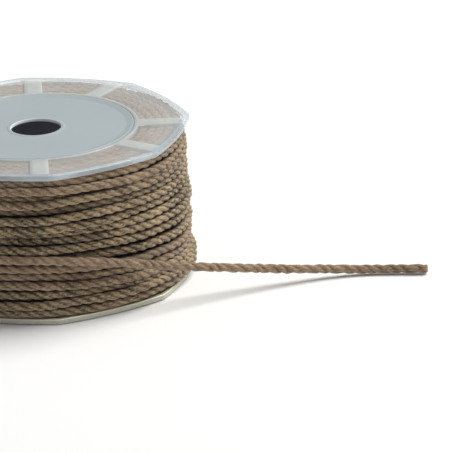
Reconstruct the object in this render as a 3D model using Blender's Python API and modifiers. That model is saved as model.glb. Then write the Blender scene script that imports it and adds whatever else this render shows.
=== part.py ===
"""Cotton cord on a clear eight-sided spool, with the cord's loose end running out along the table.

The spool stands on its lower flange. The origin is at the middle of that flange's underside, +Z up.
"""

import math

import bmesh
import bpy
from mathutils import Vector

MM = 0.001

# The spool
SPOOL_HEIGHT = 50.3 * MM
FLANGE_THICKNESS = 1.8 * MM
FLANGE_CORNER_RADIUS = 50.0 * MM
FLANGE_SIDES = 8
FLANGE_TURN = math.radians(6.0)
SIDE_BULGE = 0.5
FLANGE_EDGE_BEVEL = 0.35 * MM
OUTLINE_POINTS = 64
RIM_WIDTH = 2.4 * MM
WINDOW_DEPTH = 0.3 * MM
WINDOW_INNER_RADIUS = 33.2 * MM
WINDOW_STEPS = 8
BAND_WIDTH = 5.7 * MM
BAND_AZIMUTHS = [math.radians(a) for a in (-1.5, 57, 92, 144.5, 178.5, 237, 272, 324.5)]

# The hub
DISC_RADIUS = 31.7 * MM
DISC_STEP_RADIUS = 29.3 * MM
DISC_SUNK = 0.46 * MM
DISC_THICKNESS = 0.8 * MM
HOLE_RADIUS = 8.2 * MM
HOLE_LIP_WIDTH = 1.3 * MM
HOLE_LIP_RISE = 0.2 * MM
DRUM_RADIUS = 31.0 * MM
DRUM_WALL = 1.6 * MM
ROUND_STEPS = 40

# The cord
CORD_DIAMETER = 3.0 * MM
CORD_LAY_LENGTH = 12.0 * MM
STRANDS = 3
STRAND_RADIUS = 0.8 * MM
LAYER_RADIUS = 46.7 * MM
LAST_TURN_RADIUS = 48.4 * MM
SHOULDER = 0.62
TURN_SQUEEZE = 0.93
WINDING_STEPS = 40
GAP = 0.3 * MM

# Heights of the outer turns' middles in millimetres, at the azimuths in TURN_AZIMUTHS, from
# the front round to the right and on behind. "wound" is the order in which they were laid:
# a late turn rides on its neighbours, and an early one lies sunk between them. On the right
# the winding bellies out, so there each turn's middle has a radius of its own.
TURN_AZIMUTHS = (-93, -66, -42, -15, 95)
BELLY_SHARES = (0, 0, 0.5, 1, 0)
TURNS = [
    # front, middle, side, far side, back, wound, radius on the far side
    (46.9, 46.9, 46.7, 46.6, 46.6, 2, 46.5),
    (44.9, 44.5, 43.7, 43.6, 43.9, 3, 46.8),
    (42.5, 42.4, 41.9, 41.5, 41.6, 1, 47.1),
    (40.1, 41.3, 40.4, 39.8, 39.5, 4, 46.6),
    (37.5, 38.1, 37.8, 37.2, 36.9, 1, 46.7),
    (34.8, 35.6, 35.4, 34.8, 34.2, 3, 47.1),
    (31.9, 32.3, 32.4, 32.1, 31.4, 2, 46.6),
    (29.9, 29.8, 29.4, 28.9, 28.9, 1, 47.5),
    (27.4, 27.0, 26.4, 25.6, 26.4, 1, 48.0),
    (24.9, 24.2, 23.2, 22.1, 23.6, 3, 47.2),
    (21.4, 20.6, 19.5, 18.2, 20.4, 1, 47.7),
    (18.2, 16.9, 15.9, 14.4, 17.3, 2, 47.5),
    (15.4, 14.1, 12.8, 11.3, 14.7, 1, 46.9),
    (12.7, 11.6, 10.4, 9.0, 11.8, 3, 47.3),
    (9.3, 9.2, 8.5, 7.2, 8.9, 1, 48.0),
    (6.1, 6.7, 6.6, 5.5, 6.1, 2, 48.7),
    (3.6, 3.6, 3.7, 3.6, 3.5, 1, 48.6),
]
# The last turn climbs on top between these azimuths, comes round the back and leaves the
# winding as the loose end
LAST_TURN = 10
LAST_TURN_CLIMB = (10, 100)

# The loose end: its middle where it still lies on the winding
LOOSE_ON_WINDING = [
    # azimuth in degrees, radius and height in millimetres
    (-134, 48.5, 21.5),
    (-122, 49.2, 21.9),
    (-110, 49.6, 22.3),
    (-98, 49.6, 22.3),
    (-86, 49.6, 21.8),
    (-77, 49.6, 20.8),
    (-68, 49.6, 19.4),
]
# Its free run, in millimetres: off the winding, down to the table and along it
LOOSE_FREE_RUN = [
    # x, y, z
    (24.0, -43.8, 18.0),
    (32.0, -40.2, 15.9),
    (42.0, -36.0, 13.2),
    (52.0, -31.9, 10.7),
    (62.0, -27.9, 8.4),
    (72.0, -24.2, 6.3),
    (82.0, -20.9, 4.4),
    (92.0, -18.2, 2.9),
    (101.0, -16.9, 1.9),
    (109.0, -17.0, 1.6),
    (117.0, -17.9, 1.6),
    (124.3, -18.9, 1.6),
]
LOOSE_STEP = 2.2 * MM
LOOSE_SECTION_POINTS = 12
LOOSE_BED_CLEARANCE = 0.38 * MM


def clear_scene():
    for old in list(bpy.data.objects):
        bpy.data.objects.remove(old)


def new_collection(name):
    collection = bpy.data.collections.new(name)
    bpy.context.scene.collection.children.link(collection)
    return collection


def new_material(name, colour, roughness, metallic=0.0, alpha=1.0):
    material = bpy.data.materials.new(name)
    material.use_nodes = True
    shader = material.node_tree.nodes["Principled BSDF"]
    shader.inputs["Base Color"].default_value = (*colour, 1.0)
    shader.inputs["Roughness"].default_value = roughness
    shader.inputs["Metallic"].default_value = metallic
    shader.inputs["Alpha"].default_value = alpha
    return material


def add_object(name, data, collection, material=None):
    thing = bpy.data.objects.new(name, data)
    collection.objects.link(thing)
    if material is not None:
        data.materials.append(material)
    return thing


def set_guide(thing):
    thing.hide_render = True
    thing.display_type = "WIRE"


def polar(radius, azimuth, height=0.0):
    return Vector((radius * math.cos(azimuth), radius * math.sin(azimuth), height))


def flange_radius(azimuth):
    """Radius of the eight-sided outline, its sides bulged half way out to the circle."""
    side = math.tau / FLANGE_SIDES
    across = (azimuth - FLANGE_TURN) % side - side / 2
    straight = FLANGE_CORNER_RADIUS * math.cos(side / 2) / math.cos(across)
    return straight + SIDE_BULGE * (FLANGE_CORNER_RADIUS - straight)


def flat_curve(name, loops, thickness, collection):
    """A plate from closed outlines; a loop inside another one is a hole in it."""
    curve = bpy.data.curves.new(name, "CURVE")
    curve.dimensions = "2D"
    curve.fill_mode = "BOTH"
    curve.extrude = thickness / 2
    for loop in loops:
        spline = curve.splines.new("POLY")
        spline.points.add(len(loop) - 1)
        spline.use_cyclic_u = True
        for point, place in zip(spline.points, loop):
            point.co = (place.x, place.y, 0.0, 1.0)
    return add_object(name, curve, collection)


def curve_to_mesh(thing):
    """The curve as a closed mesh object of the same name, with its caps welded on."""
    bpy.context.view_layer.update()
    graph = bpy.context.evaluated_depsgraph_get()
    mesh = bpy.data.meshes.new_from_object(thing.evaluated_get(graph))
    shape = bmesh.new()
    shape.from_mesh(mesh)
    bmesh.ops.remove_doubles(shape, verts=shape.verts, dist=0.001 * MM)
    bmesh.ops.recalc_face_normals(shape, faces=shape.faces)
    shape.to_mesh(mesh)
    shape.free()
    name, collection, place = thing.name, thing.users_collection[0], thing.matrix_world.copy()
    bpy.data.objects.remove(thing)
    solid = add_object(name, mesh, collection)
    solid.matrix_world = place
    return solid


def window_outline(start_band, end_band):
    """One clear window: between two bands, from the hub's collar out to the raised rim."""
    across = (end_band - start_band) % math.tau
    inner, outer = [], []
    for i in range(WINDOW_STEPS + 1):
        share = i / WINDOW_STEPS
        edge = math.asin(BAND_WIDTH / 2 / WINDOW_INNER_RADIUS)
        azimuth = start_band + edge + (across - 2 * edge) * share
        inner.append(polar(WINDOW_INNER_RADIUS, azimuth))
        edge = math.asin(BAND_WIDTH / 2 / (FLANGE_CORNER_RADIUS - RIM_WIDTH))
        azimuth = start_band + edge + (across - 2 * edge) * share
        outer.append(polar(flange_radius(azimuth) - RIM_WIDTH, azimuth))
    return inner + outer[::-1]


def make_flange(name, outer_face_up, parts, cutters, material):
    """An end plate with a hole for the hub's disc, its windows sunk between the raised bands."""
    outline = [FLANGE_TURN + i * math.tau / OUTLINE_POINTS for i in range(OUTLINE_POINTS)]
    rim = [polar(flange_radius(a), a) for a in outline]
    hole_radius = DISC_RADIUS + GAP
    hole = [polar(hole_radius, i * math.tau / ROUND_STEPS) for i in range(ROUND_STEPS)]
    flange = curve_to_mesh(flat_curve(name, [rim, hole], FLANGE_THICKNESS, parts))
    flange.data.materials.append(material)
    middle = SPOOL_HEIGHT - FLANGE_THICKNESS / 2 if outer_face_up else FLANGE_THICKNESS / 2
    flange.location.z = middle

    bevel = flange.modifiers.new("rounded edge", "BEVEL")
    bevel.width = FLANGE_EDGE_BEVEL
    bevel.segments = 1
    bevel.limit_method = "ANGLE"
    bevel.angle_limit = math.radians(60)

    following = BAND_AZIMUTHS[1:] + BAND_AZIMUTHS[:1]
    windows = [window_outline(a, b) for a, b in zip(BAND_AZIMUTHS, following)]
    cutter = curve_to_mesh(flat_curve(name + "_windows", windows, 2 * WINDOW_DEPTH, cutters))
    cutter.location.z = SPOOL_HEIGHT if outer_face_up else 0.0
    set_guide(cutter)
    sink = flange.modifiers.new("windows", "BOOLEAN")
    sink.operation = "DIFFERENCE"
    sink.object = cutter
    return flange


def turned(name, profile, steps, collection, material):
    """A turned ring from its closed section, listed down its outer side and up its inner one."""
    mesh = bpy.data.meshes.new(name)
    edges = [(i, (i + 1) % len(profile)) for i in range(len(profile))]
    mesh.from_pydata([(radius, 0.0, height) for radius, height in profile], edges, [])
    ring = add_object(name, mesh, collection, material)
    screw = ring.modifiers.new("turned", "SCREW")
    screw.axis = "Z"
    screw.angle = math.tau
    screw.steps = steps
    screw.render_steps = steps
    screw.use_merge_vertices = True
    screw.merge_threshold = 0.0001 * MM
    screw.use_smooth_shade = True
    return ring


def make_disc(name, outer_face_up, collection, material):
    """The hub's frosted end: a thin plate, thick where it stands on the drum's wall."""
    drum_inner = DRUM_RADIUS - DRUM_WALL
    plate = -DISC_SUNK
    lip_foot = HOLE_RADIUS + HOLE_LIP_WIDTH
    depths = [
        # radius, height above the flange's outer face
        (DISC_STEP_RADIUS, plate),
        (DISC_RADIUS - 0.3 * MM, 0.0),
        (DISC_RADIUS, -0.3 * MM),
        (DISC_RADIUS, -FLANGE_THICKNESS),
        (drum_inner, -FLANGE_THICKNESS),
        (drum_inner, plate - DISC_THICKNESS),
        (HOLE_RADIUS, plate - DISC_THICKNESS),
        (HOLE_RADIUS, plate + HOLE_LIP_RISE / 2),
        (HOLE_RADIUS + HOLE_LIP_WIDTH / 3, plate + HOLE_LIP_RISE),
        (lip_foot - HOLE_LIP_WIDTH / 3, plate + HOLE_LIP_RISE),
        (lip_foot, plate),
    ]
    if outer_face_up:
        profile = [(radius, SPOOL_HEIGHT + depth) for radius, depth in depths]
    else:
        profile = [(radius, -depth) for radius, depth in reversed(depths)]
    return turned(name, profile, ROUND_STEPS, collection, material)


def make_drum(collection, material):
    foot = FLANGE_THICKNESS + GAP
    top = SPOOL_HEIGHT - foot
    inner = DRUM_RADIUS - DRUM_WALL
    profile = [(DRUM_RADIUS, top), (DRUM_RADIUS, foot), (inner, foot), (inner, top)]
    return turned("hub_drum", profile, ROUND_STEPS, collection, material)


def eased(value):
    return value * value * (3 - 2 * value)


def between_stations(stations, values, azimuth):
    """A value that eases from station to station round the winding, and closes on itself."""
    count = len(stations)
    for i in range(count):
        span = (stations[(i + 1) % count] - stations[i]) % 360
        along = (azimuth - stations[i]) % 360
        if along <= span:
            share = eased(along / span)
            return values[i] + (values[(i + 1) % count] - values[i]) * share
    return values[0]


def smooth_route(points, step):
    """A smooth curve through the points, read off at even steps."""
    ends = [2 * points[0] - points[1]] + points + [2 * points[-1] - points[-2]]
    fine = []
    pieces = 24
    for a, b, c, d in zip(ends, ends[1:], ends[2:], ends[3:]):
        for i in range(pieces):
            t = i / pieces
            fine.append(
                0.5 * (2 * b + (c - a) * t + (2 * a - 5 * b + 4 * c - d) * t**2
                       + (3 * b - 3 * c + d - a) * t**3)
            )
    fine.append(points[-1])
    lengths = [0.0]
    for a, b in zip(fine, fine[1:]):
        lengths.append(lengths[-1] + (b - a).length)
    count = round(lengths[-1] / step)
    route = []
    at = 0
    for i in range(count + 1):
        wanted = lengths[-1] * i / count
        while at < len(fine) - 2 and lengths[at + 1] < wanted:
            at += 1
        share = (wanted - lengths[at]) / (lengths[at + 1] - lengths[at])
        route.append(fine[at].lerp(fine[at + 1], share))
    return route


def loose_route():
    """The loose end's middle line, from where it leaves its last turn to its cut end."""
    points = [polar(r * MM, math.radians(a), z * MM) for a, r, z in LOOSE_ON_WINDING]
    points += [Vector(row) * MM for row in LOOSE_FREE_RUN]
    return smooth_route(points, LOOSE_STEP)


def loose_end_at(azimuth, route):
    """(height, radius) of the loose end's middle at an azimuth in degrees, None where it isn't."""
    rows = [(math.degrees(math.atan2(p.y, p.x)), p.z, math.hypot(p.x, p.y)) for p in route]
    for (a, *low), (b, *high) in zip(rows, rows[1:]):
        if a - 0.01 <= azimuth <= b:
            share = (azimuth - a) / (b - a)
            return [x + (y - x) * share for x, y in zip(low, high)]
    return None


def last_turn_share(azimuth):
    """How far the last turn has climbed on top: 0 in front, under the loose end, and 1 behind."""
    first, full = LAST_TURN_CLIMB
    if azimuth < LOOSE_ON_WINDING[0][0]:
        azimuth += 360
    return eased(min(max((azimuth - first) / (full - first), 0.0), 1.0))


def turns_at(azimuth):
    """(height, radius) of each outer turn's middle at an azimuth in degrees, from the top down.

    A turn rests on the layer below it and on the neighbours that were wound before it.
    """
    stations = len(TURN_AZIMUTHS)
    heights = [between_stations(TURN_AZIMUTHS, row[:stations], azimuth) * MM for row in TURNS]
    order = [row[stations] for row in TURNS]
    radii = [LAYER_RADIUS] * len(TURNS)
    reach = CORD_DIAMETER * TURN_SQUEEZE
    for wound in sorted(set(order)):
        for i in range(len(TURNS)):
            if order[i] != wound:
                continue
            for j in (i - 1, i + 1):
                if 0 <= j < len(TURNS) and order[j] < wound:
                    apart = heights[i] - heights[j]
                    lift = math.sqrt(max(reach * reach - apart * apart, 0.0))
                    radii[i] = max(radii[i], radii[j] + lift)
    radii = [min(radius, LAST_TURN_RADIUS) for radius in radii]
    belly = between_stations(TURN_AZIMUTHS, BELLY_SHARES, azimuth)
    radii = [radius + (row[-1] * MM - radius) * belly for radius, row in zip(radii, TURNS)]
    radii[LAST_TURN] += (LAST_TURN_RADIUS - radii[LAST_TURN]) * last_turn_share(azimuth)
    return list(zip(heights, radii))


def valley_height(upper, lower):
    """Where the round sections of two turns that lie side by side cross."""
    (high, high_radius), (low, low_radius) = upper, lower
    apart = math.hypot(high - low, high_radius - low_radius)
    half = math.sqrt(max((CORD_DIAMETER / 2) ** 2 - (apart / 2) ** 2, 0.0))
    crossing = (high + low) / 2 - half * (high_radius - low_radius) / apart
    least = 0.25 * MM
    return min(max(crossing, low + least), high - least)


def surface_radius(height, turns, loose):
    """The winding's radius at a height: the outermost of the turns' round sections there."""
    half = CORD_DIAMETER / 2
    reach = LAYER_RADIUS - half / 2
    for middle, radius in turns:
        inside = half * half - (height - middle) ** 2
        if inside > 0:
            reach = max(reach, radius + math.sqrt(inside))
    if loose is not None:
        middle, radius = loose
        clear = half + LOOSE_BED_CLEARANCE
        inside = clear * clear - (height - middle) ** 2
        if inside > 0:
            reach = min(reach, radius - math.sqrt(inside))
    return reach


def make_winding(collection, material, route):
    """The wound cord: a thick ring whose outer side has a rounded ridge for each outer turn."""
    top = SPOOL_HEIGHT - FLANGE_THICKNESS - GAP
    foot = FLANGE_THICKNESS + GAP
    bore = DRUM_RADIUS + GAP
    shape = bmesh.new()
    columns = []
    for step in range(WINDING_STEPS):
        azimuth = LOOSE_ON_WINDING[0][0] + step * 360 / WINDING_STEPS
        azimuth = (azimuth + 180) % 360 - 180
        loose = loose_end_at(azimuth, route)
        turns = turns_at(azimuth)
        heights = [top, (top + turns[0][0]) / 2]
        for upper, lower in zip(turns, turns[1:]):
            crest, valley, next_crest = upper[0], valley_height(upper, lower), lower[0]
            heights += [
                crest,
                crest + (valley - crest) * SHOULDER,
                valley,
                next_crest + (valley - next_crest) * SHOULDER,
            ]
        heights += [turns[-1][0], (foot + turns[-1][0]) / 2, foot]
        outside = [(surface_radius(height, turns, loose), height) for height in heights]
        section = [(bore, top)] + outside + [(bore, foot)]
        around = math.radians(azimuth)
        columns.append([shape.verts.new(polar(r, around, height)) for r, height in section])
    for column, beside in zip(columns, columns[1:] + columns[:1]):
        count = len(column)
        for i in range(count):
            below = (i + 1) % count
            shape.faces.new((column[i], column[below], beside[below], beside[i]))
    bmesh.ops.recalc_face_normals(shape, faces=shape.faces)
    mesh = bpy.data.meshes.new("cord_winding")
    shape.to_mesh(mesh)
    shape.free()
    mesh.shade_smooth()
    return add_object("cord_winding", mesh, collection, material)


def strand_section(cutters):
    """The cord's section: three round strands pressed together, as an outline for the tube."""
    curve = bpy.data.curves.new("strand_section", "CURVE")
    curve.dimensions = "2D"
    curve.fill_mode = "NONE"
    spline = curve.splines.new("POLY")
    spline.points.add(LOOSE_SECTION_POINTS - 1)
    spline.use_cyclic_u = True
    centre = CORD_DIAMETER / 2 - STRAND_RADIUS
    for i, point in enumerate(spline.points):
        around = -i * math.tau / LOOSE_SECTION_POINTS
        off = (around + math.pi / STRANDS) % (math.tau / STRANDS) - math.pi / STRANDS
        beside = centre * math.sin(off)
        radius = centre * math.cos(off) + math.sqrt(STRAND_RADIUS**2 - beside**2)
        point.co = (radius * math.cos(around), radius * math.sin(around), 0.0, 1.0)
    section = add_object("strand_section", curve, cutters)
    set_guide(section)
    return section


def make_loose_end(collection, cutters, material, route):
    """The loose end: a three-strand cord, laid up right-handed, its twist raised."""
    curve = bpy.data.curves.new("cord_loose_end", "CURVE")
    curve.dimensions = "3D"
    curve.bevel_mode = "OBJECT"
    curve.bevel_object = strand_section(cutters)
    curve.use_fill_caps = True
    curve.twist_mode = "Z_UP"
    spline = curve.splines.new("POLY")
    spline.points.add(len(route) - 1)
    spline.use_smooth = True
    walked = 0.0
    for i, (point, place) in enumerate(zip(spline.points, route)):
        if i:
            walked += (place - route[i - 1]).length
        point.co = (*place, 1.0)
        point.tilt = math.tau * walked / CORD_LAY_LENGTH
    return add_object("cord_loose_end", curve, collection, material)


def main():
    clear_scene()
    parts = new_collection("cotton_cord_on_spool")
    cutters = new_collection("cutters")
    clear_plastic = new_material("clear_plastic", (0.70, 0.76, 0.78), 0.12, alpha=0.45)
    frosted_plastic = new_material("frosted_plastic", (0.43, 0.49, 0.52), 0.45)
    dark_inside = new_material("hub_inside", (0.12, 0.11, 0.14), 0.6)
    cotton = new_material("cotton", (0.23, 0.16, 0.10), 0.9)
    route = loose_route()

    make_flange("flange_bottom", False, parts, cutters, clear_plastic)
    make_flange("flange_top", True, parts, cutters, clear_plastic)
    make_disc("hub_disc_bottom", False, parts, frosted_plastic)
    make_disc("hub_disc_top", True, parts, frosted_plastic)
    make_drum(parts, dark_inside)
    make_winding(parts, cotton, route)
    make_loose_end(parts, cutters, cotton, route)


main()
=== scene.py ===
import math

import bpy
import numpy as np
from mathutils import Matrix, Vector


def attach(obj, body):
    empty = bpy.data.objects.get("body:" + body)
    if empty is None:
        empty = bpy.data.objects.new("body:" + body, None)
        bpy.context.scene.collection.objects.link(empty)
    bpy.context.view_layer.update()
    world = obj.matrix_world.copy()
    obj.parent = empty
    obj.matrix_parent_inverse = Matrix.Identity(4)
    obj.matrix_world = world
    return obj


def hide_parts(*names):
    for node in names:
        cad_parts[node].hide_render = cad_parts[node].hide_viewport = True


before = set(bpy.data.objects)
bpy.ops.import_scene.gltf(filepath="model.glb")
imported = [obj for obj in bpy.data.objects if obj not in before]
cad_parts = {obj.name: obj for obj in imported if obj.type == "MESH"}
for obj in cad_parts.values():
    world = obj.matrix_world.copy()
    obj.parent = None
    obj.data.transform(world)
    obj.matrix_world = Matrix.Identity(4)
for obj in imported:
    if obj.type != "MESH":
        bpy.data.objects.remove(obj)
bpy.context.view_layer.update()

MM = 0.001


# The table, the light and the camera. A plain white table top under a spool that is looked
# at from in front and above, through a long lens, under one broad soft studio lamp.
TABLE_SIDE = 6.0
TABLE_DROP = 0.2 * MM
bpy.ops.mesh.primitive_plane_add(size=TABLE_SIDE, location=(0, 0, -TABLE_DROP))
table = bpy.context.object
table.name = "table_top"
table_white = bpy.data.materials.new("table_white")
table_white.use_nodes = True
table_shader = table_white.node_tree.nodes["Principled BSDF"]
table_shader.inputs["Base Color"].default_value = (0.9, 0.9, 0.9, 1)
table_shader.inputs["Roughness"].default_value = 0.9
table_shader.inputs["Specular IOR Level"].default_value = 0.1
table.data.materials.append(table_white)

room = bpy.data.worlds.new("pale_room")
room.use_nodes = True
room.node_tree.nodes["Background"].inputs["Color"].default_value = (0.93, 0.96, 1.0, 1)
room.node_tree.nodes["Background"].inputs["Strength"].default_value = 0.33
bpy.context.scene.world = room
bpy.context.scene.view_settings.view_transform = "Standard"


def soft_lamp(name, place, aim, side, power, colour):
    """A square studio softbox that faces a point on the spool."""
    lamp = bpy.data.lights.new(name, "AREA")
    lamp.shape = "SQUARE"
    lamp.color = colour
    lamp.size = side
    lamp.energy = power
    box = bpy.data.objects.new(name, lamp)
    bpy.context.scene.collection.objects.link(box)
    box.location = place
    box.rotation_euler = (Vector(aim) - Vector(place)).to_track_quat("-Z", "Y").to_euler()


soft_lamp("lamp_above_right", (1.07, 0.42, 1.68), (0.05, 0.0, 0.02), 1.5, 49.0, (1.0, 0.985, 0.95))

CAMERA_PITCH = math.radians(20.01)
CAMERA_ROLL = math.radians(-2.768)
CAMERA_DISTANCE = 2.2195
CAMERA_AIM = Vector((59.84, 0.0, 12.73)) * MM
CAMERA_LENS = 543.2
ahead = Vector((0, math.cos(CAMERA_PITCH), -math.sin(CAMERA_PITCH)))
above = Vector((0, math.sin(CAMERA_PITCH), math.cos(CAMERA_PITCH)))
right = Vector((1, 0, 0))
rolled_right = math.cos(CAMERA_ROLL) * right + math.sin(CAMERA_ROLL) * above
rolled_above = math.cos(CAMERA_ROLL) * above - math.sin(CAMERA_ROLL) * right
camera = bpy.data.objects.new("camera", bpy.data.cameras.new("camera"))
camera.data.lens = CAMERA_LENS
camera.data.sensor_width = 36.0
camera.data.clip_end = 50.0
facing = Matrix((rolled_right, rolled_above, -ahead)).transposed().to_4x4()
camera.matrix_world = Matrix.Translation(CAMERA_AIM - ahead * CAMERA_DISTANCE) @ facing
bpy.context.scene.collection.objects.link(camera)
bpy.context.scene.camera = camera


# The cotton. Three strands of brown dyed cotton yarn laid up right-handed into a cord 3 mm
# thick. The yarns run along the cord on each strand's outside; the grooves between strands
# are darkened with painted shade, the dye is uneven, and fine short fibres stand off the surface.
class Value:
    """One output of a material's nodes. Sums written with it add Math nodes."""

    def __init__(self, tree, socket):
        self.tree = tree
        self.socket = socket

    def node(self, kind, values, out=0, stops=(), **settings):
        """Adds any other node: its settings first, then what goes into its sockets."""
        made = self.tree.nodes.new("ShaderNode" + kind)
        for name, setting in settings.items():
            setattr(made, name, setting)
        for i, (place, colour) in enumerate(stops):
            ramp = made.color_ramp.elements
            stop = ramp[i] if i < len(ramp) else ramp.new(place)
            stop.position = place
            stop.color = (*colour, 1.0)
        for name, value in values.items():
            if isinstance(value, Value):
                self.tree.links.new(value.socket, made.inputs[name])
            else:
                made.inputs[name].default_value = value
        return Value(self.tree, made.outputs[out])

    def math(self, operation, first, second=0.0):
        return self.node("Math", {0: first, 1: second}, operation=operation)

    def __add__(self, other):
        return self.math("ADD", self, other)

    def __sub__(self, other):
        return self.math("SUBTRACT", self, other)

    def __rsub__(self, other):
        return self.math("SUBTRACT", other, self)

    def __mul__(self, other):
        return self.math("MULTIPLY", self, other)

    def __pow__(self, other):
        return self.math("POWER", self, other)

    __radd__ = __add__
    __rmul__ = __mul__

    def between(self, low, high):
        """0 below low, 1 above high, and a straight line between."""
        return self.node("MapRange", {"Value": self, "From Min": low, "From Max": high})

    def mixed(self, first, second):
        """The colour first where this value is 0, and second where it is 1."""
        spread = {"Factor": self, 6: first, 7: second}
        return self.node("Mix", spread, out=2, data_type="RGBA")


def new_finish(name, roughness, **fixed):
    """A material, its shader, and a Value to start writing its nodes from."""
    finish = bpy.data.materials.new(name)
    finish.use_nodes = True
    shader = finish.node_tree.nodes["Principled BSDF"]
    shader.inputs["Roughness"].default_value = roughness
    for socket, value in fixed.items():
        shader.inputs[socket.replace("_", " ")].default_value = value
    return finish, shader, Value(finish.node_tree, None)


def feed(value, shader, socket):
    value.tree.links.new(value.socket, shader.inputs[socket])


def cotton_finish(name, groove, body, crest, warm):
    """Brown cotton: groove, body and crest are its colours from the groove out to the top of
    a strand, a ramp that paints shade into the grooves; the groove colour is also laid as
    painted shade between the turns, and warm is the redder colour of the turns that were
    handled most."""
    finish, shader, new = new_finish(name, 0.92, Sheen_Weight=0.25, Sheen_Roughness=0.6)
    shader.inputs["Specular IOR Level"].default_value = 0.2
    lay = new.node("UVMap", {}, uv_map="lay")
    along = new.node("SeparateXYZ", {"Vector": lay}, out=0)
    around = new.node("SeparateXYZ", {"Vector": lay}, out=1)
    height = new.node("Attribute", {}, out="Fac", attribute_name="crest")
    tone = new.node("Attribute", {}, out="Fac", attribute_name="tone")
    seen = new.node("Attribute", {}, out="Fac", attribute_name="open")

    def streaks(per_mm_along, per_mm_around, detail):
        at = new.node("CombineXYZ", {"X": along * per_mm_along, "Y": around * per_mm_around})
        values = {"Vector": at, "Scale": 1.0, "Detail": detail, "Roughness": 0.6}
        return new.node("TexNoise", values)

    yarns = streaks(0.7, 1.6, 2.0)
    fibres = streaks(2.2, 7.0, 3.0)
    place = new.node("TexCoord", {}, out="Object")
    dye = new.node("TexNoise", {"Vector": place, "Scale": 95.0, "Detail": 3.0})
    flecks = new.node("TexNoise", {"Vector": place, "Scale": 900.0, "Detail": 2.0})

    # The crest height darkens the grooves as painted shade; the yarn, fibre and dye noise are the
    # cotton's own.
    light = height * 0.6 + (yarns - 0.5) * 2.6 + (fibres - 0.5) * 1.6 + (dye - 0.5) * 1.2
    light = (light + 0.10).between(0.0, 1.0)
    stops = ((0.0, groove), (0.42, body), (1.0, crest))
    cloth = new.node("ValToRGB", {"Fac": light}, stops=stops)
    redder = (tone + dye * 0.5 - 0.25).between(0.0, 1.0)
    cloth = (redder * 0.85).mixed(cloth, new.node("Mix", {
        "Factor": 0.7, 6: cloth, 7: (*warm, 1.0)}, out=2, data_type="RGBA"))
    pale = flecks.between(0.69, 0.76) * 0.5
    cloth = pale.mixed(cloth, (*crest, 1.0))
    # Painted shade: where the turns above and below shut a point in, its colour goes to the groove
    # colour.
    painted_shade_between_turns = 1 - seen.between(0.1, 0.62)
    cloth = (painted_shade_between_turns * 0.88).mixed(cloth, (*groove, 1.0))
    feed(cloth, shader, "Base Color")

    relief = yarns * 0.55 + fibres * 0.35 + flecks * 0.2
    bump = new.node("Bump", {"Height": relief, "Strength": 0.8, "Distance": 0.5 * MM})
    feed(bump, shader, "Normal")
    return finish


cotton = cotton_finish(
    "cotton", (0.020, 0.012, 0.006), (0.205, 0.146, 0.078), (0.54, 0.405, 0.225),
    (0.33, 0.215, 0.145))
# A darker copy of the cotton for the layer under the outer turns; its darkness is painted shade.
cotton_shaded_copy = cotton_finish(
    "cotton_shaded_copy", (0.012, 0.008, 0.005), (0.070, 0.050, 0.030), (0.15, 0.11, 0.07),
    (0.08, 0.05, 0.035))

CORD = 3.0 * MM
STRAND_RADIUS = 0.8 * MM
STRAND_RELIEF = 0.66
LAY_LENGTH = 12.0 * MM
LAY_DRIFT = 0.16
DRIFT_FADES_IN = 12 * MM
CORD_SWELL = 0.014
STRAND_SWELL = 0.035


def openness(rings, line, beside, end):
    """How much of the outside each point sees, from 0 shut in to 1 open, past the turns
    above and below it and past its own cord's bulge. The outside lies beyond the winding's
    round face, or, for the rings at its upper end (1) or lower one (-1), beyond that end.
    The cotton paints shade into its colour where this is low."""

    def seen_from_outside(places):
        radius, height = np.linalg.norm(places[..., :2], axis=-1), places[..., 2]
        return (height * end, radius) if end else (radius, height)

    out, across = seen_from_outside(rings)
    middle_out, middle_across = seen_from_outside(line[:, None])
    facing = np.arctan2(across - middle_across, out - middle_out)
    top = np.minimum(math.pi / 2, facing + math.pi / 2)
    foot = np.maximum(-math.pi / 2, facing - math.pi / 2)
    for other, is_above in zip(beside, (True, False)):
        if other is None:
            continue
        other_out, other_across = seen_from_outside(other[:, None])
        away, over = other_out - out, other_across - across
        towards = np.arctan2(over, away)
        half = np.arcsin(np.clip(CORD / 2 / np.hypot(away, over), 0, 1))
        if is_above:
            top = np.minimum(top, towards - half)
        else:
            foot = np.maximum(foot, towards + half)
    return np.clip((top - foot) / math.pi, 0, 1)


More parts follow.
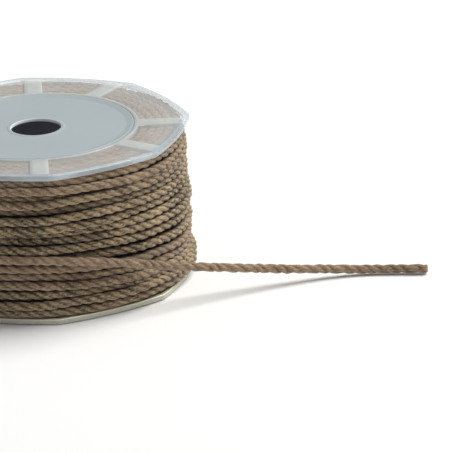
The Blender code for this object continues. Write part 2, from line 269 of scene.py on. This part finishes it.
def rope(name, runs, points, finish):
    """A joined mesh of three-strand cords. Each run is a dict: line, the cord's middle as an
    array of points; closed, whether it is a ring; tone, seed, and start, the lay's angle there;
    and, where there are any, beside, the lines of the turns that shut it in above and below,
    and end, 1 or -1 for a ring at the winding's upper or lower end."""
    places, quads, capped, uvs, crests, tones, opens = [], [], [], [], [], [], []
    base = 0
    off = (np.arange(points) / points * 3 % 1 - 0.5) * math.tau / 3
    centre = CORD / 2 - STRAND_RADIUS
    lobes = centre * np.cos(off) + np.sqrt(STRAND_RADIUS**2 - (centre * np.sin(off)) ** 2)
    lobes = CORD / 2 - (CORD / 2 - lobes) * STRAND_RELIEF
    raised = (lobes - lobes.min()) / (lobes.max() - lobes.min())
    for run in runs:
        line, closed = run["line"], run["closed"]
        count = len(line)
        chance = np.random.default_rng(run["seed"])
        ahead_of = np.roll(line, -1, 0) - np.roll(line, 1, 0)
        if not closed:
            ahead_of[0], ahead_of[-1] = line[1] - line[0], line[-1] - line[-2]
        forward = ahead_of / np.linalg.norm(ahead_of, axis=1)[:, None]
        outward = np.cross(forward, (0, 0, 1))
        outward /= np.linalg.norm(outward, axis=1)[:, None]
        upward = np.cross(forward, outward)
        steps = np.linalg.norm(np.diff(line, axis=0, append=line[:1]), axis=1)
        walked = np.concatenate([[0], np.cumsum(steps)])
        length = walked[-1] if closed else walked[-2]
        at = walked[:-1]
        thirds = round(length / LAY_LENGTH * 3)
        lays = thirds / 3 if closed else length / LAY_LENGTH
        share = at / length
        drift = sum(
            LAY_DRIFT * np.sin(math.tau * (wave * share + chance.random()))
            for wave in (5, 9, 14, 22))
        if not closed:
            drift = drift * np.minimum(1, at / DRIFT_FADES_IN)
        twist = run["start"] + math.tau * lays * share + drift
        swell = 1 + sum(
            CORD_SWELL * np.sin(math.tau * (wave * share + chance.random()))
            for wave in (7, 23, 51))
        plump = np.ones((count, points))
        for strand in range(3):
            waves = sum(
                STRAND_SWELL * np.sin(math.tau * (wave * share + chance.random()))
                for wave in (11, 19, 34))
            bulge = np.cos(off) ** 2 * (np.arange(points) * 3 // points == strand)
            plump += (waves * np.sqrt(np.sin(math.pi * share)))[:, None] * bulge[None, :]
        angle = twist[:, None] + np.arange(points) / points * math.tau
        taper = run.get("taper", np.ones(count))
        reach = (swell * taper)[:, None] * plump * lobes[None, :]
        rings = (line[:, None, :] + reach[..., None] * (
            np.cos(angle)[..., None] * outward[:, None, :]
            + np.sin(angle)[..., None] * upward[:, None, :]))
        places.append(rings.reshape(-1, 3))
        beside = run.get("beside", (None, None))
        opens.append(openness(rings, line, beside, run.get("end", 0)).ravel())
        crests.append(np.tile(raised, count))
        tones.append(np.full(count * points, run["tone"]))
        last = count if closed else count - 1
        i = np.arange(last)[:, None]
        j = np.arange(points)[None, :]
        shift = np.where(i == count - 1, points // 3 * (thirds % 3), 0)
        i_next = (i + 1) % count
        a = i * points + j
        b = i * points + (j + 1) % points
        c = i_next * points + (j + 1 + shift) % points
        d = i_next * points + (j + shift) % points
        quads.append(np.stack([a, b, c, d], -1).reshape(-1, 4) + base)
        girth = math.pi * CORD / MM
        ends = np.concatenate([at, [length]])[: last + 1] / MM
        turned = np.concatenate([twist, [run["start"] + math.tau * lays + drift[0]]])
        low = (turned[:-1][:last, None] + j / points * math.tau) / math.tau * girth
        high = (turned[1:][:last, None] + j / points * math.tau) / math.tau * girth
        wide = girth / points
        u_low = np.broadcast_to(ends[:last, None], low.shape)
        u_high = np.broadcast_to(
            (np.append(ends, ends[-1])[1:last + 1])[:, None], low.shape)
        corners = np.stack([
            np.stack([u_low, low], -1), np.stack([u_low, low + wide], -1),
            np.stack([u_high, high + wide], -1), np.stack([u_high, high], -1)], 2)
        uvs.append(corners.reshape(-1, 2))
        if not closed:
            capped.append([base + k for k in reversed(range(points))])
            capped.append([base + (count - 1) * points + k for k in range(points)])
        base += count * points
    sides = np.concatenate(quads)
    mesh = bpy.data.meshes.new(name)
    mesh.vertices.add(base)
    mesh.vertices.foreach_set("co", np.concatenate(places).ravel())
    loops = np.concatenate([sides.ravel()] + [np.array(cap) for cap in capped])
    sizes = np.array([4] * len(sides) + [points] * len(capped))
    mesh.loops.add(len(loops))
    mesh.loops.foreach_set("vertex_index", loops)
    mesh.polygons.add(len(sizes))
    mesh.polygons.foreach_set("loop_start", np.concatenate([[0], np.cumsum(sizes)[:-1]]))
    mesh.polygons.foreach_set("use_smooth", np.ones(len(sizes), bool))
    mesh.update(calc_edges=True)
    layer = mesh.uv_layers.new(name="lay")
    flat = np.zeros((len(loops), 2))
    flat[: len(sides) * 4] = np.concatenate(uvs)
    layer.data.foreach_set("uv", flat.ravel())
    # crest and open are the masks for the cotton's painted shade in the grooves and between the
    # turns.
    for label, values in (("crest", crests), ("tone", tones), ("open", opens)):
        attribute = mesh.attributes.new(label, "FLOAT", "POINT")
        attribute.data.foreach_set("value", np.concatenate(values).astype(np.float32))
    mesh.validate()
    mesh.materials.append(finish)
    piece = bpy.data.objects.new(name, mesh)
    bpy.context.scene.collection.objects.link(piece)
    return piece


def eased(value):
    value = np.clip(value, 0, 1)
    return value * value * (3 - 2 * value)


# The loose end. The last of the cord comes round the back on top of the other turns, leaves
# the winding at the front, comes down to the table and ends in a plain cut end.
LOOSE_ON_WINDING = [
    # azimuth in degrees, radius and height in millimetres
    (-134, 48.5, 21.5),
    (-122, 49.2, 21.9),
    (-110, 49.6, 22.3),
    (-98, 49.6, 22.3),
    (-86, 49.6, 21.8),
    (-77, 49.6, 20.8),
    (-68, 49.6, 19.4),
]
LOOSE_FREE_RUN = [
    # x, y, z in millimetres
    (24.0, -43.8, 18.0),
    (32.0, -40.2, 15.9),
    (42.0, -36.0, 13.2),
    (52.0, -31.9, 10.7),
    (62.0, -27.9, 8.4),
    (72.0, -24.2, 6.3),
    (82.0, -20.9, 4.4),
    (92.0, -18.2, 2.9),
    (101.0, -16.9, 1.9),
    (109.0, -17.0, 1.6),
    (117.0, -17.9, 1.6),
    (124.3, -18.9, 1.6),
]


def smooth_line(points, step):
    """A smooth curve through the points, read off at even steps."""
    points = np.array(points, float)
    ends = np.vstack([2 * points[0] - points[1], points, 2 * points[-1] - points[-2]])
    t = np.linspace(0, 1, 40, endpoint=False)[:, None]
    fine = [
        0.5 * (2 * b + (c - a) * t + (2 * a - 5 * b + 4 * c - d) * t**2
               + (3 * b - 3 * c + d - a) * t**3)
        for a, b, c, d in zip(ends, ends[1:], ends[2:], ends[3:])]
    fine = np.vstack(fine + [points[-1:]])
    walked = np.concatenate([[0], np.cumsum(np.linalg.norm(np.diff(fine, axis=0), axis=1))])
    wanted = np.linspace(0, walked[-1], round(walked[-1] / step) + 1)
    return np.stack([np.interp(wanted, walked, fine[:, k]) for k in range(3)], 1)


loose_points = [
    (r * math.cos(math.radians(a)), r * math.sin(math.radians(a)), z)
    for a, r, z in LOOSE_ON_WINDING]
loose_line = smooth_line(loose_points + LOOSE_FREE_RUN, 0.4) * MM
loose_length = float(np.linalg.norm(np.diff(loose_line, axis=0), axis=1).sum())
end_share = np.linspace(loose_length, 0, len(loose_line)) / (0.5 * MM)
loose_taper = 0.72 + 0.28 * np.sqrt(np.clip(end_share, 0, 1))
loose_run = {
    "line": loose_line, "closed": False, "tone": 0.9, "seed": 7, "start": 0.0,
    "taper": loose_taper}
loose_end = rope("cord_loose_end_twisted", [loose_run], 30, cotton)
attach(loose_end, "root")
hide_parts("cord_loose_end")


# The outer turns. The same cord wound round the spool, seventeen turns in the layer that
# shows, each resting on the layer below and on its neighbours, so some ride high and some
# lie sunk between them, as they come off a winding machine.
LAYER_RADIUS = 46.7
LAST_TURN_RADIUS = 48.4
LAST_TURN = 10
LAST_TURN_CLIMB = (10, 100)
LAST_TURN_LEVELS = (150, 220)
LAST_TURN_SUNK = 0.8
LAST_TURN_SUNK_TILL = (-62, -42)
TURN_SQUEEZE = 0.93
TURN_AZIMUTHS = (-93, -66, -42, -15, 95)
BELLY_SHARES = (0, 0, 0.5, 1, 0)
SUNK_SHARES = (1, 0.5, 0, 0, 0)
SUNK_IN_FRONT = {4: 0.9, 7: 0.8, 8: 1.2, 12: 0.6, 15: -0.4, 16: -0.9}
TURNS = [
    # front, middle, side, far side, back, wound, radius on the far side, tone
    (46.9, 46.9, 46.7, 46.6, 47.0, 2, 46.5, 0.8),
    (44.9, 44.5, 43.7, 43.6, 43.9, 3, 46.8, 0.7),
    (42.5, 42.4, 41.9, 41.5, 41.6, 1, 47.1, 0.5),
    (40.1, 41.3, 40.4, 39.8, 39.5, 4, 46.6, 0.4),
    (37.5, 38.1, 37.8, 37.2, 36.9, 1, 46.7, 0.3),
    (34.8, 35.6, 35.4, 34.8, 34.2, 3, 47.1, 0.1),
    (31.9, 32.3, 32.4, 32.1, 31.4, 2, 46.6, 0.1),
    (29.9, 29.8, 29.4, 28.9, 28.9, 1, 47.5, 0.0),
    (27.4, 27.0, 26.4, 25.6, 26.4, 1, 48.0, 0.1),
    (24.9, 24.2, 23.2, 22.1, 23.6, 3, 47.2, 0.1),
    (21.4, 20.6, 19.5, 18.2, 20.4, 1, 47.7, 0.3),
    (18.2, 16.9, 15.9, 14.4, 17.3, 2, 47.5, 0.9),
    (15.4, 14.1, 12.8, 11.3, 14.7, 1, 46.9, 0.7),
    (12.7, 11.6, 10.4, 9.0, 11.8, 3, 47.3, 0.5),
    (9.3, 9.2, 8.5, 7.2, 8.9, 1, 48.0, 0.3),
    (6.1, 6.7, 6.6, 5.5, 6.1, 2, 48.7, 0.3),
    (3.6, 3.6, 3.7, 3.6, 3.5, 1, 48.6, 0.4),
]
OUTER_STEPS = 378
azimuths = -134 + np.arange(OUTER_STEPS + 1) * 360 / OUTER_STEPS


def turn_height(row, azimuth):
    """The height of a turn's middle at each azimuth, easing from station to station."""
    found = np.zeros_like(azimuth)
    for i, station in enumerate(TURN_AZIMUTHS):
        following = (i + 1) % len(TURN_AZIMUTHS)
        span = (TURN_AZIMUTHS[following] - station) % 360
        along = (azimuth - station) % 360
        here = along < span
        share = eased(along / span)
        found = np.where(here, row[i] + (row[following] - row[i]) * share, found)
    return found


def round_smooth(values, half_width):
    """A running mean round a closed ring of values; the last one repeats the first."""
    ring = values[:-1]
    mean = sum(np.roll(ring, k) for k in range(-half_width, half_width + 1))
    mean = mean / (2 * half_width + 1)
    return np.append(mean, mean[0])


turn_heights = [turn_height(row, azimuths) for row in TURNS]
orders = [row[5] for row in TURNS]
turn_radii = [np.full_like(azimuths, LAYER_RADIUS) for _ in TURNS]
reach = CORD / MM * TURN_SQUEEZE
for wound in sorted(set(orders)):
    for i in range(len(TURNS)):
        if orders[i] != wound:
            continue
        for j in (i - 1, i + 1):
            if 0 <= j < len(TURNS) and orders[j] < wound:
                apart = turn_heights[i] - turn_heights[j]
                lift = np.sqrt(np.maximum(reach**2 - apart**2, 0))
                turn_radii[i] = np.maximum(turn_radii[i], turn_radii[j] + lift)
turn_radii = [round_smooth(np.minimum(radius, LAST_TURN_RADIUS), 7) for radius in turn_radii]
belly = turn_height(BELLY_SHARES, azimuths)
in_front = turn_height(SUNK_SHARES, azimuths)
for i, row in enumerate(TURNS):
    turn_radii[i] = turn_radii[i] + (row[6] - turn_radii[i]) * belly
    turn_radii[i] = turn_radii[i] - SUNK_IN_FRONT.get(i, 0.0) * in_front


def eased_over(low, high):
    """0 up to the azimuth low, 1 past the azimuth high, easing between."""
    return eased((azimuths - low) / (high - low))


climbed = eased_over(*LAST_TURN_CLIMB)
sunk = LAST_TURN_SUNK * (1 - eased_over(*LAST_TURN_SUNK_TILL))
last_radius = turn_radii[LAST_TURN] - sunk
turn_radii[LAST_TURN] = last_radius + (LAST_TURN_RADIUS + 0.1 - last_radius) * climbed
to_loose_end = LOOSE_ON_WINDING[0][2] - turn_heights[LAST_TURN]
turn_heights[LAST_TURN] = turn_heights[LAST_TURN] + to_loose_end * eased_over(*LAST_TURN_LEVELS)

runs = []
for i, (radius, height) in enumerate(zip(turn_radii, turn_heights)):
    chance = np.random.default_rng(100 + i)
    closed = i != LAST_TURN
    share = (azimuths + 134) / 360
    calm = 1.0 if closed else np.sin(math.pi * share) ** 0.5
    stray = sum(
        0.05 * np.sin(math.tau * (wave * share + chance.random())) for wave in (3, 7, 12))
    rise = sum(
        0.06 * np.sin(math.tau * (wave * share + chance.random())) for wave in (4, 9, 13))
    radius = radius + stray * calm
    height = height + rise * calm
    around = np.radians(azimuths)
    line = np.stack([radius * np.cos(around), radius * np.sin(around), height], 1) * MM
    if closed:
        line = line[:-1]
    runs.append({
        "line": line, "closed": closed, "tone": TURNS[i][7], "seed": i + 1,
        "start": chance.random() * math.tau})
for i, run in enumerate(runs):
    beside = [None if 0 > j or j >= len(runs) else runs[j]["line"] for j in (i - 1, i + 1)]
    run["beside"] = [
        None if other is None else np.resize(other, run["line"].shape) for other in beside]
last_run = runs[LAST_TURN]
last_length = np.linalg.norm(np.diff(last_run["line"], axis=0), axis=1).sum()
last_run["start"] = -math.tau * last_length / LAY_LENGTH

halves = (("cord_turns_upper", runs[:9]), ("cord_turns_lower", runs[9:]))
for name, some in halves:
    turns = rope(name, some, 21, cotton)
    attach(turns, "root")
    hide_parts("cord_winding")


# The fuzz. Short cotton fibres stand off the yarn all along the cord, where the spinning left
# their ends loose. Each is a thin three-sided sliver that bends and tapers to a fine tip.
FIBRE_LENGTHS = (0.5, 1.5)
FIBRE_RADII = (0.012, 0.022)
FIBRE_ROOT_DEPTH = 0.12 * MM
FIBRES_ON_TURNS = 2600
FIBRES_ON_LOOSE_END = 700


def fuzz(name, runs, count, seed):
    chance = np.random.default_rng(seed)
    places, faces = [], []
    for _ in range(count):
        run = runs[chance.integers(len(runs))]
        line = run["line"]
        at = int(chance.integers(1, len(line) - 1))
        forward = Vector(line[at + 1] - line[at - 1]).normalized()
        outward = forward.cross(Vector((0, 0, 1))).normalized()
        lean = chance.normal(0, 0.8)
        turned_out = outward * math.cos(lean) + forward.cross(outward) * math.sin(lean)
        point = Vector(line[at]) + turned_out * (CORD / 2 - FIBRE_ROOT_DEPTH)
        along = forward * chance.choice((-1, 1)) * chance.uniform(0.5, 1.3)
        heading = (turned_out * chance.uniform(0.25, 0.8) + along).normalized()
        bend = Vector(chance.normal(0, 0.45, 3))
        length = chance.uniform(*FIBRE_LENGTHS) * MM
        thick = chance.uniform(*FIBRE_RADII) * MM
        base = len(places)
        for k in range(4):
            side = heading.orthogonal().normalized()
            across = heading.cross(side)
            width = thick * (1 - 0.3 * k)
            for turn in (0, math.tau / 3, 2 * math.tau / 3):
                places.append(point + (side * math.cos(turn) + across * math.sin(turn)) * width)
            point = point + heading * length / 3
            heading = (heading + bend / 3).normalized()
        for k in range(3):
            for j in range(3):
                a, b = base + 3 * k + j, base + 3 * k + (j + 1) % 3
                faces.append((a, b, b + 3, a + 3))
        faces.append((base + 2, base + 1, base))
        faces.append((base + 9, base + 10, base + 11))
    mesh = bpy.data.meshes.new(name)
    mesh.from_pydata(places, [], faces)
    mesh.materials.append(fibre)
    down = bpy.data.objects.new(name, mesh)
    bpy.context.scene.collection.objects.link(down)
    return down


fibre, fibre_shader, _ = new_finish("cotton_fibre", 0.9)
fibre_shader.inputs["Base Color"].default_value = (0.42, 0.32, 0.20, 1)
fibre_shader.inputs["Alpha"].default_value = 0.7
turn_fuzz = fuzz("cord_turns_fuzz", runs, FIBRES_ON_TURNS, 61)
loose_fuzz = fuzz("cord_loose_end_fuzz", [loose_run], FIBRES_ON_LOOSE_END, 62)
for piece, node in ((turn_fuzz, "cord_winding"), (loose_fuzz, "cord_loose_end")):
    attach(piece, "root")
    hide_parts(node)


# The layers inside. The next layer down shows dark between the outer turns, its darkness
# painted shade in a darker copy of the cotton, and the ends of all the layers show through
# the clear flanges as rings of cord lying side by side.
LAYER_STEP = 2.75
UNDER_RADIUS = LAYER_RADIUS - LAYER_STEP
WINDING_TOP = 48.15
WINDING_FOOT = 2.15
RISE_INTO_WINDOWS = 1.4


def plain_ring(radius, height, steps, seed, tone):
    chance = np.random.default_rng(seed)
    around = np.linspace(0, math.tau, steps, endpoint=False)
    stray = sum(0.07 * np.sin(wave * around + chance.random() * 6) for wave in (2, 5, 9))
    rise = sum(0.06 * np.sin(wave * around + chance.random() * 6) for wave in (3, 6, 8))
    line = np.stack([
        (radius + stray) * np.cos(around), (radius + stray) * np.sin(around),
        height + rise], 1) * MM
    return {"line": line, "closed": True, "tone": tone, "seed": seed,
            "start": chance.random() * math.tau}


end_top = WINDING_TOP - CORD / MM / 2
end_foot = WINDING_FOOT + CORD / MM / 2
under_count = 15
under = [
    plain_ring(UNDER_RADIUS, end_top + (end_foot - end_top) * i / (under_count - 1),
               200, 200 + i, 0.3)
    for i in range(under_count)]
under_layer = rope("cord_under_layer", under, 15, cotton_shaded_copy)

end_radii = (45.9, 43.15, 40.4, 37.65, 34.9)
ends = []
for end, height in ((1, end_top + RISE_INTO_WINDOWS), (-1, end_foot - RISE_INTO_WINDOWS)):
    rings = [
        plain_ring(radius, height, 240, 300 + 10 * k + end, 0.9)
        for k, radius in enumerate(end_radii)]
    for k, ring in enumerate(rings):
        ring["end"] = end
        ring["beside"] = [
            rings[j]["line"] if 0 <= j < len(rings) else None for j in (k - 1, k + 1)]
    ends += rings
layer_ends = rope("cord_layer_ends", ends, 18, cotton)

for piece in (under_layer, layer_ends):
    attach(piece, "root")
    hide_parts("cord_winding")


# The flanges. Two clear eight-sided plates with bulged sides, moulded in clear plastic: a
# raised rim, a collar round the hub and eight raised frosted bands, with sunk clear windows
# between. The outer edge is rounded over.
SPOOL_HEIGHT = 50.3
FLANGE_THICKNESS = 1.8
CORNER_RADIUS = 50.0
FLANGE_TURN = math.radians(6.0)
SIDE_BULGE = 0.5
RIM_WIDTH = 2.4
WINDOW_DEPTH = 0.3
COLLAR_RADIUS = 33.2
FLANGE_HOLE = 31.85
WEB_THICKNESS = 0.7
EDGE_ROUND = 0.55
BAND_WIDTH = 5.7
BAND_SHOULDER = 0.25
WINDOW_STEP = math.radians(1.6)
WINDOW_COVER = 0.28
BANDS = [math.radians(a) for a in (-1.5, 57, 92, 144.5, 178.5, 237, 272, 324.5)]


def flange_radius(azimuth):
    side = math.tau / 8
    across = (azimuth - FLANGE_TURN) % side - side / 2
    straight = CORNER_RADIUS * np.cos(side / 2) / np.cos(across)
    return straight + SIDE_BULGE * (CORNER_RADIUS - straight)


def flange_mesh(name, outer_up, finish):
    """A ring of columns that run along the bands' edges, each a closed section."""
    columns = []
    following = BANDS[1:] + [BANDS[0] + math.tau]
    for band, after in zip(BANDS, following):
        for across in (-1.0, -0.5, 0.0, 0.5, 1.0):
            columns.append((band, across, None, 0.0, 1.0))
        columns.append((band, 1.0, None, BAND_SHOULDER, 0.0))
        window_steps = max(6, round((after - band) / WINDOW_STEP))
        for k in range(1, window_steps):
            columns.append((band, 1.0, after, k / window_steps, 0.0))
        columns.append((after, -1.0, None, -BAND_SHOULDER, 0.0))

    def azimuth_of(column, radius):
        band, across, after, share, _ = column
        half = BAND_WIDTH / 2
        if after is None:
            return band + math.asin((across * half + share) / radius)
        start = band + math.asin((half + BAND_SHOULDER) / radius)
        stop = after - math.asin((half + BAND_SHOULDER) / radius)
        return start + (stop - start) * share

    quarter = np.linspace(0, math.pi / 2, 6)
    places, masks, section = [], [], 0
    for column in columns:
        rim = flange_radius(azimuth_of(column, CORNER_RADIUS - 1))
        raised = column[4]
        floor = -WINDOW_DEPTH * (1 - raised)
        inner = rim - RIM_WIDTH
        profile = [(FLANGE_HOLE, -0.25), (FLANGE_HOLE + 0.25, 0.0), (COLLAR_RADIUS, 0.0)]
        profile += [(COLLAR_RADIUS + 0.15, floor * 0.5), (COLLAR_RADIUS + 0.4, floor)]
        for share in (0.25, 0.5, 0.75):
            profile.append((COLLAR_RADIUS + (inner - COLLAR_RADIUS) * share, floor))
        profile += [(inner - 0.4, floor), (inner - 0.15, floor * 0.5), (inner, 0.0)]
        profile += [(rim - 1.2, 0.0)]
        profile += [
            (rim - EDGE_ROUND * (1 - math.sin(q)), -EDGE_ROUND * (1 - math.cos(q)))
            for q in quarter]
        profile += [
            (rim - EDGE_ROUND * (1 - math.cos(q)),
             -FLANGE_THICKNESS + EDGE_ROUND * (1 - math.sin(q)))
            for q in quarter]
        profile += [
            (rim - 1.7, -FLANGE_THICKNESS), (rim - 2.1, -WEB_THICKNESS),
            (41.0, -WEB_THICKNESS), (COLLAR_RADIUS + 0.4, -WEB_THICKNESS),
            (COLLAR_RADIUS, -FLANGE_THICKNESS), (FLANGE_HOLE + 0.1, -FLANGE_THICKNESS),
            (FLANGE_HOLE, -FLANGE_THICKNESS + 0.1)]
        section = len(profile)
        first_round = profile.index((rim - 1.2, 0.0)) + 1
        # The two rows that carry the painted light line along the rim's edge.
        painted_line_row = first_round + (2 if outer_up else 8)
        for k, (radius, depth) in enumerate(profile):
            azimuth = azimuth_of(column, radius)
            height = SPOOL_HEIGHT + depth if outer_up else -depth
            places.append((
                radius * math.cos(azimuth), radius * math.sin(azimuth), height))
            on_rim = eased((radius - (inner - 0.5)) / 0.7)
            on_collar = 0.8 - 0.8 * eased((radius - COLLAR_RADIUS) / 0.4)
            frosted = max(raised, on_collar) * (1 - on_rim)
            masks.append((frosted, on_rim, float(k in (painted_line_row, painted_line_row + 1))))
    faces = []
    total = len(columns)
    for i in range(total):
        beside = (i + 1) % total
        for k in range(section):
            below = (k + 1) % section
            quad = [i * section + k, i * section + below,
                    beside * section + below, beside * section + k]
            faces.append(quad if outer_up else quad[::-1])
    mesh = bpy.data.meshes.new(name)
    mesh.from_pydata([tuple(c * MM for c in p) for p in places], [], faces)
    for label, column in (("frosted", 0), ("rim", 1), ("edge", 2)):
        attribute = mesh.attributes.new(label, "FLOAT", "POINT")
        attribute.data.foreach_set("value", [float(mask[column]) for mask in masks])
    mesh.shade_smooth()
    mesh.materials.append(finish)
    plate = bpy.data.objects.new(name, mesh)
    bpy.context.scene.collection.objects.link(plate)
    return plate


def clear_finish(name, window, band, rim, edge, rim_cover):
    """Clear plastic: see-through in the windows, frosted on the bands, denser at the rim,
    with a line of painted light along the rim's edge in the edge colour."""
    finish, shader, new = new_finish(name, 0.12, Coat_Weight=0.3, Coat_Roughness=0.05)
    frosted = new.node("Attribute", {}, out="Fac", attribute_name="frosted")
    on_rim = new.node("Attribute", {}, out="Fac", attribute_name="rim")
    painted_rim_line = new.node("Attribute", {}, out="Fac", attribute_name="edge")
    place = new.node("TexCoord", {}, out="Object")
    cloud = new.node("TexNoise", {"Vector": place, "Scale": 140.0, "Detail": 2.0})
    scuffs = new.node("TexNoise", {"Vector": place, "Scale": 1400.0, "Detail": 2.0})
    colour = frosted.mixed((*window, 1.0), (*band, 1.0))
    colour = on_rim.mixed(colour, (*rim, 1.0))
    # Painted light: the edge colour laid as a line along the rim's edge.
    colour = painted_rim_line.mixed(colour, (*edge, 1.0))
    feed(colour, shader, "Base Color")
    cover = WINDOW_COVER + frosted * 0.33 + on_rim * (rim_cover - WINDOW_COVER)
    cover = cover + painted_rim_line * 0.2
    cover = cover + (cloud - 0.5) * 0.12
    feed(cover, shader, "Alpha")
    feed(0.10 + frosted * 0.35 + scuffs * 0.08, shader, "Roughness")
    bump = new.node("Bump", {
        "Height": scuffs * frosted + cloud * 0.6, "Strength": 0.12, "Distance": 0.2 * MM})
    feed(bump, shader, "Normal")
    return finish


# The top plate's darker edge colour is a painted dark line standing in for refraction at the rim.
clear_top = clear_finish(
    "clear_plastic_top", (0.88, 0.86, 0.83), (0.68, 0.72, 0.71), (0.66, 0.76, 0.82),
    (0.40, 0.49, 0.55), 0.46)
# The bottom plate's olive tint on windows, bands and rim is a painted reflection of the brown
# cord, and its pale yellow edge colour is a painted highlight.
clear_bottom = clear_finish(
    "clear_plastic_bottom", (0.76, 0.76, 0.72), (0.66, 0.68, 0.62), (0.72, 0.71, 0.59),
    (0.95, 0.93, 0.66), 0.72)
for node, outer_up, finish in (
    ("flange_top", True, clear_top), ("flange_bottom", False, clear_bottom),
):
    plate = flange_mesh(node + "_moulded", outer_up, finish)
    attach(plate, "root")
    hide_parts(node)


# The hub. A frosted grey-blue disc closes each end of the hollow hub tube, a little below
# the flange's face, with a bevelled step at its edge and a lip round the spindle hole.
DISC_RADIUS = 31.7
DISC_STEP_RADIUS = 29.3
DISC_SUNK = 0.46
DISC_THICKNESS = 0.8
HOLE_RADIUS = 8.2
LIP_WIDTH = 1.3
LIP_RISE = 0.2
DRUM_RADIUS = 31.0
DRUM_WALL = 1.6
DRUM_GAP = 0.3
TURNED_STEPS = 160


def turned(name, section, flip, finish):
    """A turned ring from its closed section of radius and height, in millimetres."""
    count = len(section)
    places, faces = [], []
    for i in range(TURNED_STEPS):
        around = math.tau * i / TURNED_STEPS
        beside = (i + 1) % TURNED_STEPS
        for k, (radius, height) in enumerate(section):
            places.append((
                radius * math.cos(around) * MM, radius * math.sin(around) * MM, height * MM))
            below = (k + 1) % count
            quad = [i * count + k, i * count + below, beside * count + below, beside * count + k]
            faces.append(quad[::-1] if flip else quad)
    mesh = bpy.data.meshes.new(name)
    mesh.from_pydata(places, [], faces)
    mesh.shade_smooth()
    mesh.set_sharp_from_angle(angle=math.radians(50))
    mesh.materials.append(finish)
    ring = bpy.data.objects.new(name, mesh)
    bpy.context.scene.collection.objects.link(ring)
    return ring


def frosted_finish(name, colour, worn, highlight_painted_within, roughness, cover):
    """Frosted plastic with a fine grain and a soft unevenness from the mould. Within a
    radius, on the wall of the spindle hole, it is painted near white as a painted highlight."""
    finish, shader, new = new_finish(name, roughness)
    place = new.node("TexCoord", {}, out="Object")
    cloud = new.node("TexNoise", {"Vector": place, "Scale": 45.0, "Detail": 3.0})
    grain = new.node("TexNoise", {"Vector": place, "Scale": 2600.0, "Detail": 2.0})
    across = new.node("SeparateXYZ", {"Vector": place}, out=0)
    along = new.node("SeparateXYZ", {"Vector": place}, out=1)
    radius = (across * across + along * along) ** 0.5
    # Painted highlight: the spindle hole's wall is coloured near white.
    pale = 1 - radius.between(highlight_painted_within, highlight_painted_within + 0.1 * MM)
    tint = (cloud * 0.9 + grain * 0.2 - 0.1).mixed((*colour, 1.0), (*worn, 1.0))
    feed(pale.mixed(tint, (0.93, 0.95, 0.97, 1.0)), shader, "Base Color")
    feed(roughness + (cloud - 0.5) * 0.12, shader, "Roughness")
    feed(new.node("Bump", {"Height": grain, "Strength": 0.15, "Distance": 0.1 * MM}),
         shader, "Normal")
    shader.inputs["Alpha"].default_value = cover
    return finish


frosted_plastic = frosted_finish(
    "frosted_plastic", (0.375, 0.435, 0.455), (0.43, 0.485, 0.505), (HOLE_RADIUS + 0.1) * MM,
    0.42, 0.94)
# The drum wall inside the hub gets a pale colour that stands in for the light that hardly reaches
# in there: painted light.
hub_inside = frosted_finish(
    "hub_inside", (0.76, 0.74, 0.84), (0.82, 0.80, 0.88), 0.0, 0.5, 1.0)

foot_radius = DRUM_RADIUS - DRUM_WALL
disc_section = [
    (DISC_STEP_RADIUS - 0.25, -DISC_SUNK), (DISC_STEP_RADIUS, -DISC_SUNK),
    (DISC_STEP_RADIUS + 0.2, -DISC_SUNK + 0.05), (DISC_RADIUS - 0.55, -0.06),
    (DISC_RADIUS - 0.3, 0.0), (DISC_RADIUS - 0.1, -0.06), (DISC_RADIUS, -0.25),
    (DISC_RADIUS, -FLANGE_THICKNESS), (foot_radius, -FLANGE_THICKNESS),
    (foot_radius, -DISC_SUNK - DISC_THICKNESS), (HOLE_RADIUS, -DISC_SUNK - DISC_THICKNESS),
    (HOLE_RADIUS, -DISC_SUNK + LIP_RISE * 0.4),
    (HOLE_RADIUS + 0.08, -DISC_SUNK + LIP_RISE * 0.8),
    (HOLE_RADIUS + 0.3, -DISC_SUNK + LIP_RISE), (HOLE_RADIUS + 0.8, -DISC_SUNK + LIP_RISE),
    (HOLE_RADIUS + 1.1, -DISC_SUNK + LIP_RISE * 0.5), (HOLE_RADIUS + LIP_WIDTH, -DISC_SUNK),
    (HOLE_RADIUS + LIP_WIDTH + 0.2, -DISC_SUNK),
]
for node, top in (("hub_disc_top", True), ("hub_disc_bottom", False)):
    section = [(r, SPOOL_HEIGHT + h if top else -h) for r, h in disc_section]
    disc = turned(node + "_frosted", section, not top, frosted_plastic)
    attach(disc, "root")
    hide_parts(node)

drum_foot = FLANGE_THICKNESS + DRUM_GAP
drum_top = SPOOL_HEIGHT - drum_foot
drum_section = [
    (DRUM_RADIUS, drum_top), (DRUM_RADIUS, drum_foot), (foot_radius, drum_foot),
    (foot_radius, drum_top)]
drum = turned("hub_drum_wall", drum_section, False, hub_inside)
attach(drum, "root")
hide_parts("hub_drum")
